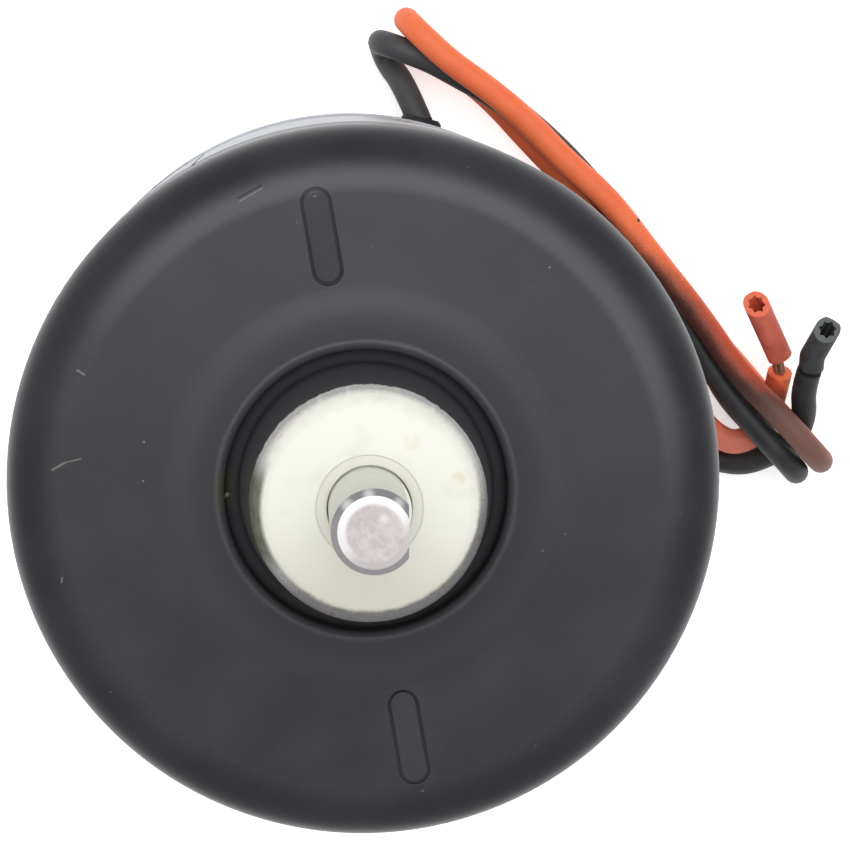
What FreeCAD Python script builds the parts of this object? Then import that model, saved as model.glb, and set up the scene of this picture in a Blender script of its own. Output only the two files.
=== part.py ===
import FreeCAD, Part
import math
import os

V = FreeCAD.Vector
os.makedirs("parts", exist_ok=True)

# All sizes are millimetres. The origin is on the shaft line at the rear face and +Z runs toward the shaft end.

# Driving sizes of the housing
HOUSING_R = 36.4            # outer radius of the rolled tube
CAP_R = 36.3                # outer radius of the painted front cap
COVER_R = 36.6              # outer radius of the rear cover
TUBE_WALL = 3.0
COVER_WALL = 1.2
CAP_WALL = 1.6
COVER_TOP = 16.0            # open edge of the rear cover
TUBE_REAR = 12.0
TUBE_LEAD_IN = (0.4, 0.8)   # lead-in at both ends of the tube's outside, across and along
TUBE_FRONT = 76.0
CAP_REAR = 70.0             # open edge of the front cap
SHOULDER_Z = 85.0           # the cap keeps its full radius up to here
SHOULDER_ROUND = 6.0
BOSS_TOP = 108.0
PRESS_GAP = 0.05            # drawn gap between parts pressed together

# Driving sizes of the rotor
SHAFT_R = 3.97              # 5/16 inch shaft
SHAFT_REAR = 1.8
SHAFT_TIP = 126.4
SHAFT_BEVEL = 0.62          # width and height of the outer 45 degree bevel
SHAFT_CROWN = (0.6, 0.15)   # width and height of the shallow bevel inside it
SHAFT_FLAT_X = 3.14         # distance of the driving flat from the shaft line
SHAFT_FLAT_Z = 110.0
SHAFT_GROOVE = (107.0, 108.4)   # shallow groove at the mouth of the boss that throws oil off the shaft
SHAFT_GROOVE_DEPTH = 0.25
BORE_CLEAR = 0.05           # running clearance of a bearing bore
MOUTH_CLEAR = 0.09          # running clearance at the mouth of the boss
SHAFT_CLEAR = 0.3           # gap where the shaft passes a fixed hole
CORE_R = 26.6
CORE_REAR = 41.0
CORE_FRONT = 70.0
SLOTS = 12
TOOTH = 4.8
SLOT_MOUTH = 2.6
SLOT_BOTTOM_R = 12.0
SLOT_TOP_R = 24.6
LINER = 0.3

# Driving sizes of the magnets
MAGNET_Z0 = 38.0
MAGNET_Z1 = 72.0
AIR_GAP = 0.55
MAGNET_ARC = 66.0
POLES = 4

# Driving sizes of the bearings
BALL_R = 8.0                # spherical outside of the sintered bearings
FRONT_BALL_Z = 100.3
FRONT_HALF = 5.5
REAR_BALL_Z = 5.6
REAR_HALF = 4.6
SEAT_GAP = 0.05

# Driving sizes of the commutator and the brush gear
COMM_R = 11.0
COMM_HUB_R = 8.2
COMM_Z0 = 12.2
COMM_Z1 = 25.0
BRUSH_ANGLES = (76.0, -14.0)
BRUSH_W = 6.0
BRUSH_H = 8.0
BRUSH_CLEAR = 0.06
BRUSH_FACE_CLEAR = 0.08
BRUSH_TAIL_R = 22.0
HOLDER_WALL = 0.6
HOLDER_R0 = 12.8
HOLDER_R1 = 29.6
CARD_Z = 10.4
CARD_T = 1.6

# Driving sizes of the leads
WIRE_R = 1.55
LEAD_Z = 6.0
PAD_R = 36.0                # flats on the cover that carry the grommets
GROMMET_FACE = 37.2
GROMMET_NECK = 2.05


def polar(radius, angle, z=0.0):
    """Point at a radius and an angle in degrees about the shaft line."""
    a = math.radians(angle)
    return V(radius * math.cos(a), radius * math.sin(a), z)


def cyl(radius, z0, z1):
    """Upright cylinder on the shaft line."""
    return Part.makeCylinder(radius, z1 - z0, V(0, 0, z0))


def ring(outer, inner, z0, z1):
    """Upright ring on the shaft line."""
    return cyl(outer, z0, z1).cut(cyl(inner, z0 - 1, z1 + 1))


def profile(start, steps):
    """Closed wire in the XZ plane from lines (r, z) and arcs ((r, z), (r, z))."""
    here = V(start[0], 0, start[1])
    first = here
    edges = []
    for step in steps:
        if isinstance(step[0], tuple):
            mid = V(step[0][0], 0, step[0][1])
            end = V(step[1][0], 0, step[1][1])
            edges.append(Part.Arc(here, mid, end).toShape())
        else:
            end = V(step[0], 0, step[1])
            edges.append(Part.LineSegment(here, end).toShape())
        here = end
    if here.distanceToPoint(first) > 1e-6:
        edges.append(Part.LineSegment(here, first).toShape())
    return Part.Wire(edges)


def turned(start, steps, angle=360.0):
    """Solid turned about the shaft line from a closed profile."""
    face = Part.Face(profile(start, steps))
    return face.revolve(V(0, 0, 0), V(0, 0, 1), angle)


def spin(shape, angle):
    """Copy of a shape turned about the shaft line."""
    out = shape.copy()
    out.rotate(V(0, 0, 0), V(0, 0, 1), angle)
    return out


def block(x0, x1, y0, y1, z0, z1):
    """Box between corner coordinates."""
    return Part.makeBox(x1 - x0, y1 - y0, z1 - z0, V(x0, y0, z0))


def plate(points, z0, z1):
    """Upright prism over a closed outline of (x, y) points."""
    corners = [V(x, y, z0) for x, y in points]
    corners.append(corners[0])
    return Part.Face(Part.makePolygon(corners)).extrude(V(0, 0, z1 - z0))


def obround(cx, half_long, half_wide, z0, z1):
    """Upright prism with round ends, long along X, centred on the X axis at cx."""
    flat = half_long - half_wide
    body = block(cx - flat, cx + flat, -half_wide, half_wide, z0, z1)
    left = Part.makeCylinder(half_wide, z1 - z0, V(cx - flat, 0, z0))
    right = Part.makeCylinder(half_wide, z1 - z0, V(cx + flat, 0, z0))
    return body.fuse([left, right]).removeSplitter()


def rod(a, b, radius):
    """Round bar between two points."""
    return Part.makeCylinder(radius, (b - a).Length, a, b - a)


def save(shape, name):
    """Write one node."""
    solids = shape.Solids
    if len(solids) == 1:
        shape = solids[0]
    else:
        shape = Part.makeCompound(solids)
    for solid in solids:
        if not solid.isValid():
            print("invalid solid in", name)
    print("%-26s solids %2d volume %9.2f" % (name, len(solids), shape.Volume))
    shape.exportStep("parts/%s.step" % name)
    return shape


# Front cap: one drawn and painted steel cup with its bearing boss left bare at the end
def front_cap():
    inner_r = CAP_R - CAP_WALL
    round_r = CAP_R - SHOULDER_ROUND
    in_round = SHOULDER_ROUND - CAP_WALL
    flat_z = SHOULDER_Z + SHOULDER_ROUND
    slope = math.radians(5.06)
    middle = math.radians(47.5)

    def shoulder(radius, turn):
        """Point of the rounded shoulder, turned from the shaft direction."""
        return round_r + radius * math.sin(turn), SHOULDER_Z + radius * math.cos(turn)

    seat_r = BALL_R + SEAT_GAP
    seat_low = FRONT_BALL_Z + 0.7
    seat_high = FRONT_BALL_Z + 5.2
    r_low = math.sqrt(seat_r ** 2 - 0.7 ** 2)
    r_high = math.sqrt(seat_r ** 2 - 5.2 ** 2)
    r_mid = math.sqrt(seat_r ** 2 - 3.0 ** 2)
    body = turned((CAP_R, CAP_REAR), [
        (CAP_R, SHOULDER_Z),
        (shoulder(SHOULDER_ROUND, middle), shoulder(SHOULDER_ROUND, slope)),
        (20.4, flat_z + 0.9),
        ((17.7, flat_z + 1.58), (15.31, flat_z + 2.99)),
        ((14.52, flat_z + 3.07), (14.1, flat_z + 2.4)),
        (14.05, flat_z + 0.4),
        ((13.4, flat_z - 0.35), (12.75, flat_z + 0.5)),
        (12.2, flat_z + 6.0),
        (11.75, BOSS_TOP - 6.0),
        (11.3, BOSS_TOP - 3.0),
        ((10.87, BOSS_TOP - 1.3), (9.75, BOSS_TOP - 0.55)),
        ((7.5, BOSS_TOP - 0.16), (5.2, BOSS_TOP)),
        (5.05, BOSS_TOP - 0.12),
        (SHAFT_R + MOUTH_CLEAR + 0.12, BOSS_TOP - 0.12),
        (SHAFT_R + MOUTH_CLEAR, BOSS_TOP - 0.24),
        (SHAFT_R + MOUTH_CLEAR, BOSS_TOP - 2.0),
        (r_high, BOSS_TOP - 2.0),
        (r_high, seat_high),
        ((r_mid, FRONT_BALL_Z + 3.0), (r_low, seat_low)),
        (10.0, seat_low),
        (10.0, 93.0),
        (10.6, 89.6),
        ((11.2, 88.9), (12.0, 88.8)),
        (15.2, 88.8),
        ((16.2, 89.4), (17.0, 90.1)),
        (20.6, flat_z + 0.9 - CAP_WALL),
        shoulder(in_round, slope),
        (shoulder(in_round, middle), (inner_r, SHOULDER_Z)),
        (inner_r, CAP_REAR),
    ])
    for angle in (99.7, 279.7):
        lowered = obround(25.6, 4.95, 1.58, 91.05, 93.0)
        trench = obround(25.6, 4.97, 1.6, 90.5, 93.0).cut(obround(25.6, 4.6, 1.23, 90.0, 94.0))
        button = obround(25.6, 4.5, 1.13, 88.6, 90.6)
        body = body.cut([spin(lowered, angle), spin(trench, angle)])
        body = body.fuse(spin(button, angle))
    return body


# Rolled tube: thick steel wall that carries the magnets, with an open seam and a rabbet at both ends
def yoke_tube():
    cap_seat = CAP_R - CAP_WALL - PRESS_GAP
    cover_seat = COVER_R - COVER_WALL - PRESS_GAP
    inner = HOUSING_R - TUBE_WALL
    body = turned((inner, TUBE_REAR), [
        (cover_seat - 0.4, TUBE_REAR),
        (cover_seat, TUBE_REAR + 0.4),
        (cover_seat, COVER_TOP),
        (HOUSING_R - TUBE_LEAD_IN[0], COVER_TOP),
        (HOUSING_R, COVER_TOP + TUBE_LEAD_IN[1]),
        (HOUSING_R, CAP_REAR - TUBE_LEAD_IN[1]),
        (HOUSING_R - TUBE_LEAD_IN[0], CAP_REAR),
        (cap_seat, CAP_REAR),
        (cap_seat, TUBE_FRONT - 0.4),
        (cap_seat - 0.4, TUBE_FRONT),
        (inner, TUBE_FRONT),
    ])
    seam = spin(block(inner - 2, HOUSING_R + 2, -0.2, 0.2, TUBE_REAR - 1, TUBE_FRONT + 1), 119.0)
    return body.cut(seam)


# Rear cover: a shallow drawn cup with a bearing pocket pressed inward and two flat pads for the leads
def rear_cover():
    inner = COVER_R - COVER_WALL
    round_r = 3.0
    diag = round_r * math.sqrt(0.5)
    in_round = round_r - COVER_WALL
    in_diag = in_round * math.sqrt(0.5)
    seat_r = BALL_R + SEAT_GAP
    seat_low = REAR_BALL_Z + 0.7
    seat_high = REAR_BALL_Z + 4.4
    r_low = math.sqrt(seat_r ** 2 - 0.7 ** 2)
    r_mid = math.sqrt(seat_r ** 2 - 2.6 ** 2)
    r_high = math.sqrt(seat_r ** 2 - 4.4 ** 2)
    body = turned((COVER_R, COVER_TOP), [
        (COVER_R, round_r),
        ((COVER_R - round_r + diag, round_r - diag), (COVER_R - round_r, 0.0)),
        (12.3, 0.0),
        ((11.0, 0.35), (10.3, 1.3)),
        (10.3, seat_low),
        (r_low, seat_low),
        ((r_mid, REAR_BALL_Z + 2.6), (r_high, seat_high)),
        (r_high, 10.3),
        (SHAFT_R + SHAFT_CLEAR + 1.6, 10.3),
        (SHAFT_R + SHAFT_CLEAR + 1.6, 11.0),
        (10.6, 11.0),
        ((11.25, 10.75), (11.5, 10.1)),
        (11.5, 2.4),
        ((11.85, 1.55), (12.7, COVER_WALL)),
        (inner - in_round, COVER_WALL),
        ((inner - in_round + in_diag, round_r - in_diag), (inner, round_r)),
        (inner, COVER_TOP),
    ])
    for angle in BRUSH_ANGLES:
        backing = block(34.8, PAD_R, -5.0, 5.0, 2.2, 10.2)
        flat = block(PAD_R, PAD_R + 3.0, -9.0, 9.0, 2.9, 10.4)
        hole = rod(V(30, 0, LEAD_Z), V(40, 0, LEAD_Z), GROMMET_NECK + PRESS_GAP)
        body = body.fuse(spin(backing, angle)).cut([spin(flat, angle), spin(hole, angle)])
    for angle in (33.0, 123.0 + 15.0, 213.0, 303.0):
        dent = Part.makeSphere(1.6, V(COVER_R + 1.15, 0, 13.4))
        body = body.cut(spin(dent, angle))
    notch = block(COVER_R - 2.0, COVER_R + 2.0, -2.6, 2.6, 12.4, COVER_TOP + 1.0)
    return body.cut(spin(notch, 126.6)).removeSplitter()


# Pressed cap that closes the bearing pocket at the rear face
def rear_dust_cap():
    return turned((0.0, 1.0), [
        (0.0, 0.5),
        (9.3, 0.5),
        (10.25, 1.35),
        (10.25, 2.3),
        (9.75, 2.3),
        (9.75, 1.55),
        (9.1, 1.0),
    ])


# Rubber grommet around a lead where it leaves the cover
def lead_grommet(angle):
    steps = [
        (33.7, 2.1),
        (34.0, 2.7),
        (34.75, 2.7),
        (34.75, GROMMET_NECK),
        (PAD_R + 0.05, GROMMET_NECK),
        (PAD_R + 0.05, 2.55),
        (GROMMET_FACE - 0.45, 2.5),
        (GROMMET_FACE, 2.1),
        (GROMMET_FACE, WIRE_R + PRESS_GAP),
        (33.7, WIRE_R + PRESS_GAP),
    ]
    points = [V(x, 0, LEAD_Z + r) for x, r in steps]
    points.append(points[0])
    face = Part.Face(Part.makePolygon(points))
    body = face.revolve(V(0, 0, LEAD_Z), V(1, 0, 0), 360)
    return spin(body, angle)


# Inner stretch of a lead from the brush holder terminal to the face of the grommet
def inner_lead(angle):
    return spin(rod(V(31.0, 0, LEAD_Z), V(GROMMET_FACE, 0, LEAD_Z), WIRE_R), angle)


# Ferrite arc magnet against the wall of the tube
def field_magnet(angle):
    outer = HOUSING_R - TUBE_WALL - PRESS_GAP
    inner = CORE_R + AIR_GAP
    body = turned((inner, MAGNET_Z0), [
        (outer, MAGNET_Z0),
        (outer, MAGNET_Z1),
        (inner, MAGNET_Z1),
    ], MAGNET_ARC)
    return spin(body, angle - MAGNET_ARC / 2)


# Sheet spring that spreads two neighbouring magnets
def magnet_clip(angle):
    outer = HOUSING_R - TUBE_WALL - PRESS_GAP
    half = 360.0 / POLES / 2 - MAGNET_ARC / 2
    edge = outer * math.sin(math.radians(half)) - 0.35
    bridge = turned((outer - 0.6, MAGNET_Z0 + 3), [
        (outer, MAGNET_Z0 + 3),
        (outer, MAGNET_Z1 - 3),
        (outer - 0.6, MAGNET_Z1 - 3),
    ], 2 * half - 2.0)
    bridge = spin(bridge, -half + 1.0)
    body = bridge
    for side in (-1, 1):
        leg = plate([
            (28.6, side * 28.6 * math.tan(math.radians(half - 1.0))),
            (outer - 0.2, side * (outer - 0.2) * math.tan(math.radians(half - 1.0))),
            (outer - 0.2, side * ((outer - 0.2) * math.tan(math.radians(half - 1.0)) - 0.6)),
            (28.6, side * (28.6 * math.tan(math.radians(half - 1.0)) - 0.6)),
        ], MAGNET_Z0 + 3, MAGNET_Z1 - 3)
        body = body.fuse(leg)
    return spin(body.common(cyl(outer, 0, 100)).removeSplitter(), angle)


# Shaft with a driving flat and two bevels at the tip
def motor_shaft():
    groove_r = SHAFT_R - SHAFT_GROOVE_DEPTH
    plain = turned((0.0, SHAFT_REAR), [
        (SHAFT_R - 0.5, SHAFT_REAR),
        (SHAFT_R, SHAFT_REAR + 0.5),
        (SHAFT_R, SHAFT_GROOVE[0]),
        (groove_r, SHAFT_GROOVE[0]),
        (groove_r, SHAFT_GROOVE[1]),
        (SHAFT_R, SHAFT_GROOVE[1]),
        (SHAFT_R, SHAFT_FLAT_Z),
        (0.0, SHAFT_FLAT_Z),
    ])
    driving = turned((0.0, SHAFT_FLAT_Z), [
        (SHAFT_R, SHAFT_FLAT_Z),
        (SHAFT_R, SHAFT_TIP - SHAFT_CROWN[1] - SHAFT_BEVEL),
        (SHAFT_R - SHAFT_BEVEL, SHAFT_TIP - SHAFT_CROWN[1]),
        (SHAFT_R - SHAFT_BEVEL - SHAFT_CROWN[0], SHAFT_TIP),
        (0.0, SHAFT_TIP),
    ])
    flat = block(SHAFT_FLAT_X, SHAFT_R + 1, -5, 5, SHAFT_FLAT_Z, SHAFT_TIP + 1)
    return plain.fuse(driving.cut(flat))


def slot_outline(shrink):
    """Outline of one armature slot about the +X axis, drawn smaller by shrink."""
    slope = math.tan(math.radians(180.0 / SLOTS))
    shift = TOOTH / 2 / math.cos(math.radians(180.0 / SLOTS))
    low = SLOT_BOTTOM_R + shrink
    high = SLOT_TOP_R - 0.7 - shrink
    top = SLOT_TOP_R - shrink
    w_low = low * slope - shift - shrink
    w_high = high * slope - shift - shrink
    mouth = SLOT_MOUTH / 2 - shrink * 0.5
    return low, high, top, max(w_low, 0.25), w_high, mouth


# Laminated core with twelve slots
def armature_core():
    body = cyl(CORE_R, CORE_REAR, CORE_FRONT).cut(cyl(SHAFT_R, 0, 100))
    low, high, top, w_low, w_high, mouth = slot_outline(0.0)
    far = CORE_R + 1.0
    outline = [(low, -w_low), (high, -w_high), (top, -mouth), (far, -mouth)]
    outline += [(far, mouth), (top, mouth), (high, w_high), (low, w_low)]
    slot = plate(outline, CORE_REAR - 1, CORE_FRONT + 1)
    return body.cut([spin(slot, 360.0 * k / SLOTS) for k in range(SLOTS)])


# Fibre disc that keeps the end turns off the core
def end_disc(z0, z1):
    body = ring(CORE_R - 0.4, SHAFT_R, z0, z1)
    low, high, top, w_low, w_high, mouth = slot_outline(0.0)
    far = CORE_R + 1.0
    outline = [(low, -w_low), (high, -w_high), (top, -mouth), (far, -mouth)]
    outline += [(far, mouth), (top, mouth), (high, w_high), (low, w_low)]
    slot = plate(outline, z0 - 1, z1 + 1)
    return body.cut([spin(slot, 360.0 * k / SLOTS) for k in range(SLOTS)])


# Enamelled copper winding: slot bars, end turns and the short leads to the commutator
def armature_windings():
    low, high, top, w_low, w_high, mouth = slot_outline(LINER)
    outline = [(low, -w_low), (high, -w_high), (top, -0.9), (top, 0.9), (high, w_high), (low, w_low)]
    bar = plate(outline, CORE_REAR - 3.0, CORE_FRONT + 3.0)
    rear = turned((11.6, CORE_REAR - 0.7), [
        (24.2, CORE_REAR - 0.7),
        ((25.0, CORE_REAR - 3.4), (22.8, CORE_REAR - 6.2)),
        ((18.0, CORE_REAR - 7.6), (13.0, CORE_REAR - 6.0)),
        (11.6, CORE_REAR - 3.5),
    ])
    front = turned((11.0, CORE_FRONT + 0.7), [
        (24.2, CORE_FRONT + 0.7),
        ((25.0, CORE_FRONT + 3.4), (22.8, CORE_FRONT + 6.2)),
        ((17.6, CORE_FRONT + 7.4), (12.4, CORE_FRONT + 6.0)),
        (11.0, CORE_FRONT + 3.4),
    ])
    pieces = [front]
    for k in range(SLOTS):
        angle = 360.0 * k / SLOTS
        pieces.append(spin(bar, angle))
        lead = rod(V(12.05, 0, COMM_Z1 + 2.2), V(14.2, 0, CORE_REAR - 5.2), 0.55)
        pieces.append(spin(lead, angle + 15.0))
    body = rear.fuse(pieces)
    for k in range(SLOTS):
        groove = block(10.0, 27.0, -0.35, 0.35, CORE_REAR - 9.0, CORE_REAR - 5.2)
        body = body.cut(spin(groove, 360.0 * k / SLOTS))
        groove = block(10.0, 27.0, -0.35, 0.35, CORE_FRONT + 5.2, CORE_FRONT + 9.0)
        body = body.cut(spin(groove, 360.0 * k / SLOTS))
    return body


# Moulded hub of the commutator
def commutator_hub():
    return turned((SHAFT_R, COMM_Z0 - 0.3), [
        (COMM_HUB_R - 0.6, COMM_Z0 - 0.3),
        (COMM_HUB_R - PRESS_GAP, COMM_Z0 + 0.4),
        (COMM_HUB_R - PRESS_GAP, COMM_Z1 + 3.0),
        (6.4, COMM_Z1 + 4.4),
        (SHAFT_R, COMM_Z1 + 4.4),
    ])


# Copper bars of the commutator with their wire hooks
def commutator_bars():
    step = 360.0 / SLOTS
    gap = math.degrees(0.5 / COMM_R)
    bars = []
    for k in range(SLOTS):
        bar = turned((COMM_HUB_R, COMM_Z0), [
            (COMM_R, COMM_Z0),
            (COMM_R, COMM_Z1),
            (COMM_HUB_R, COMM_Z1),
        ], step - gap)
        bar = spin(bar, -(step - gap) / 2)
        hook = block(COMM_HUB_R + 0.4, 12.6, -1.0, 1.0, COMM_Z1 - 0.2, COMM_Z1 + 1.9)
        bars.append(spin(bar.fuse(hook).removeSplitter(), k * step + 15.0))
    return Part.makeCompound(bars)


# Sleeve between the core and the front thrust washers
def spacer_sleeve():
    body = ring(6.0, SHAFT_R, CORE_FRONT + 0.6, 93.0)
    return body


# Thin disc on the sleeve that throws oil back toward the felt
def oil_slinger():
    return turned((6.0, 90.2), [
        (9.0, 90.2),
        (9.0, 91.6),
        (8.5, 91.6),
        (8.5, 90.8),
        (6.0, 90.8),
    ])


def thrust_washer(z0, z1, outer):
    return ring(outer, SHAFT_R + 0.05, z0, z1)


# Sintered bearing with a spherical outside
def bearing(center_z, half):
    ball = Part.makeSphere(BALL_R, V(0, 0, center_z))
    keep = cyl(BALL_R + 1, center_z - half, center_z + half)
    bore = cyl(SHAFT_R + BORE_CLEAR, center_z - half - 1, center_z + half + 1)
    return ball.common(keep).cut(bore)


# Star washer that holds a bearing in its seat
def bearing_retainer(z0, outer, inner):
    body = ring(outer, inner, z0, z0 + 0.6)
    cuts = []
    for k in range(8):
        cuts.append(spin(block(inner - 1, inner + 1.9, -0.5, 0.5, z0 - 1, z0 + 2), 45.0 * k))
    return body.cut(cuts)


def oil_felt(z0, z1, outer):
    return ring(outer, BALL_R + 0.15, z0, z1)


# Round insulating board that carries the brush gear
def brush_card():
    outer = COVER_R - COVER_WALL - 0.2
    body = ring(outer, 13.2, CARD_Z, CARD_Z + CARD_T)
    for angle in BRUSH_ANGLES:
        slot = block(29.95, 31.25, -2.3, 2.3, CARD_Z - 1, CARD_Z + CARD_T + 1)
        body = body.cut(spin(slot, angle))
        for side in (-1, 1):
            hole = Part.makeCylinder(1.05, 6, V(21.0, side * 6.0, CARD_Z - 2))
            body = body.cut(spin(hole, angle))
    for angle in PILLAR_ANGLES:
        spot = polar(28.0, angle, CARD_Z - 1)
        body = body.cut(Part.makeCylinder(1.3, 4, spot))
    return body


PILLAR_ANGLES = (33.0, 138.0, 258.0)


# Pillars that stand on the cover and hold the board, each with its screw head
def card_pillars():
    made = []
    for angle in PILLAR_ANGLES:
        spot = polar(28.0, angle, COVER_WALL)
        post = Part.makeCylinder(2.4, CARD_Z - COVER_WALL, spot)
        neck = Part.makeCylinder(1.25, CARD_T + 0.05, polar(28.0, angle, CARD_Z))
        head = Part.makeCylinder(2.2, 1.2, polar(28.0, angle, CARD_Z + CARD_T + 0.05))
        made.append(post.fuse([neck, head]).removeSplitter())
    return Part.makeCompound(made)


# Brass box that guides one brush, with its foot, ears and terminal
def brush_holder(angle):
    base = CARD_Z + CARD_T
    half_in = BRUSH_W / 2 + BRUSH_CLEAR
    half_out = half_in + HOLDER_WALL
    z_in = base + HOLDER_WALL
    z_top = z_in + BRUSH_H + 2 * BRUSH_CLEAR
    outside = block(HOLDER_R0, HOLDER_R1, -half_out, half_out, base, z_top + HOLDER_WALL)
    inside = block(HOLDER_R0 - 1, HOLDER_R1 - HOLDER_WALL, -half_in, half_in, z_in, z_top)
    window = block(15.0, 26.0, -0.9, 0.9, z_top - 1, z_top + 2)
    body = outside.cut([inside, window])
    foot = block(HOLDER_R1 - HOLDER_WALL, 31.0, -2.0, 2.0, base, base + 0.8)
    tab = block(30.2, 31.0, -2.0, 2.0, LEAD_Z - 2.0, base + 0.8)
    body = body.fuse([foot, tab])
    for side in (-1, 1):
        y0 = min(side * half_out, side * (half_out + 4.2))
        ear = block(18.6, 23.4, y0, y0 + 4.2, base, base + 0.6)
        hole = Part.makeCylinder(1.05, 4, V(21.0, side * 6.0, base - 1))
        body = body.fuse(ear).cut(hole)
    return spin(body.removeSplitter(), angle)


# Rivets through the ears of the holders and the board
def holder_rivets():
    base = CARD_Z + CARD_T
    made = []
    for angle in BRUSH_ANGLES:
        for side in (-1, 1):
            x, y = 21.0, side * 6.0
            stem = Part.makeCylinder(1.0, CARD_T + 0.6, V(x, y, CARD_Z))
            head = Part.makeCylinder(1.7, 0.7, V(x, y, base + 0.6))
            tail = Part.makeCylinder(1.6, 0.7, V(x, y, CARD_Z - 0.7))
            made.append(spin(stem.fuse([head, tail]).removeSplitter(), angle))
    return Part.makeCompound(made)


def brush_mid_z():
    return CARD_Z + CARD_T + HOLDER_WALL + BRUSH_CLEAR + BRUSH_H / 2


# Carbon brush with a concave running face
def carbon_brush(angle):
    mid = brush_mid_z()
    body = block(9.0, BRUSH_TAIL_R, -BRUSH_W / 2, BRUSH_W / 2, mid - BRUSH_H / 2, mid + BRUSH_H / 2)
    body = body.cut(cyl(COMM_R + BRUSH_FACE_CLEAR, mid - BRUSH_H, mid + BRUSH_H))
    return spin(body, angle)


# Coil spring behind a brush
def brush_spring(angle):
    length = HOLDER_R1 - HOLDER_WALL - BRUSH_TAIL_R
    wire = 0.3
    turns = 5
    helix = Part.makeHelix((length - 2 * wire - 0.1) / turns, length - 2 * wire - 0.1, 2.2)
    section = Part.Wire(Part.Circle(V(2.2, 0, 0), V(0, 1, 0), wire).toShape())
    coil = Part.Wire(helix).makePipeShell([section], True, True)
    coil.rotate(V(0, 0, 0), V(0, 1, 0), 90)
    coil.translate(V(BRUSH_TAIL_R + wire + 0.05, 0, brush_mid_z()))
    return spin(coil, angle)


# Braided shunt from the brush to the end wall of its holder
def brush_pigtail(angle):
    mid = brush_mid_z()
    top = mid + BRUSH_H / 2
    wall = CARD_Z + CARD_T + BRUSH_H + 2 * BRUSH_CLEAR + 2 * HOLDER_WALL
    route = [
        V(18.0, 0, top),
        V(18.0, 0, top + 3.2),
        V(22.0, 0, top + 5.2),
        V(26.5, 0, top + 5.0),
        V(29.3, 0, top + 3.6),
        V(29.3, 0, wall),
    ]
    body, radii, length = tube_along(route, 0.6)
    return spin(body, angle)


def unit(vector):
    out = V(vector)
    out.normalize()
    return out


def tube_along(route, radius):
    """Round tube along straight runs joined by tangent arcs."""
    edges = []
    radii = []
    length = 0.0
    here = route[0]
    for before, corner, after in zip(route, route[1:], route[2:]):
        a = unit(corner - before)
        b = unit(after - corner)
        turn = a.getAngle(b)
        cut = 0.45 * min((corner - before).Length, (after - corner).Length)
        bend = cut / math.tan(turn / 2)
        start = corner - a * cut
        end = corner + b * cut
        inward = unit(b - a)
        middle = corner + inward * (bend / math.cos(turn / 2) - bend)
        edges.append(Part.LineSegment(here, start).toShape())
        edges.append(Part.Arc(start, middle, end).toShape())
        length += (start - here).Length + bend * turn
        radii.append(bend)
        here = end
    edges.append(Part.LineSegment(here, route[-1]).toShape())
    length += (route[-1] - here).Length
    path = Part.Wire(edges)
    first = route[1] - route[0]
    section = Part.Wire(Part.Circle(route[0], first, radius).toShape())
    body = path.makePipeShell([section], True, False)
    return body, radii, length


# Route of the black lead from the face of its grommet to the cut end of its insulation
BLACK_ROUTE = [
    tuple(polar(GROMMET_FACE, BRUSH_ANGLES[0], LEAD_Z)),
    tuple(polar(GROMMET_FACE + 2.3, BRUSH_ANGLES[0], LEAD_Z)),
    (7.1, 40.1, 4.1),
    (5.7, 42.5, 1.8),
    (4.0, 45.1, 2.7),
    (4.0, 45.2, 6.7),
    (7.1, 44.4, 7.8),
    (9.9, 43.1, 7.2),
    (13.2, 41.3, 6.8),
    (18.8, 38.2, 6.7),
    (25.0, 33.1, 6.6),
    (30.7, 27.0, 6.5),
    (35.4, 21.5, 6.7),
    (39.4, 15.6, 7.2),
    (42.2, 9.2, 8.4),
    (46.2, 2.8, 8.8),
    (49.9, -1.8, 9.1),
    (54.1, -6.3, 9.1),
    (56.2, -8.5, 5.2),
    (55.1, -7.1, 1.7),
    (51.4, -3.0, 1.7),
    (47.5, 1.1, 1.7),
    (45.1, 5.7, 1.7),
    (42.4, 9.8, 1.7),
    (38.0, 8.1, 1.7),
    (38.0, 2.7, 1.7),
    (39.4, -2.4, 1.7),
    (42.6, -5.5, 1.7),
    (46.2, -6.9, 1.8),
    (49.7, -7.3, 3.1),
    (53.1, -5.6, 5.2),
    (55.8, -3.1, 6.7),
    (56.3, -0.3, 8.6),
    (55.7, 2.6, 11.0),
    (56.2, 5.2, 12.8),
]

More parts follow.
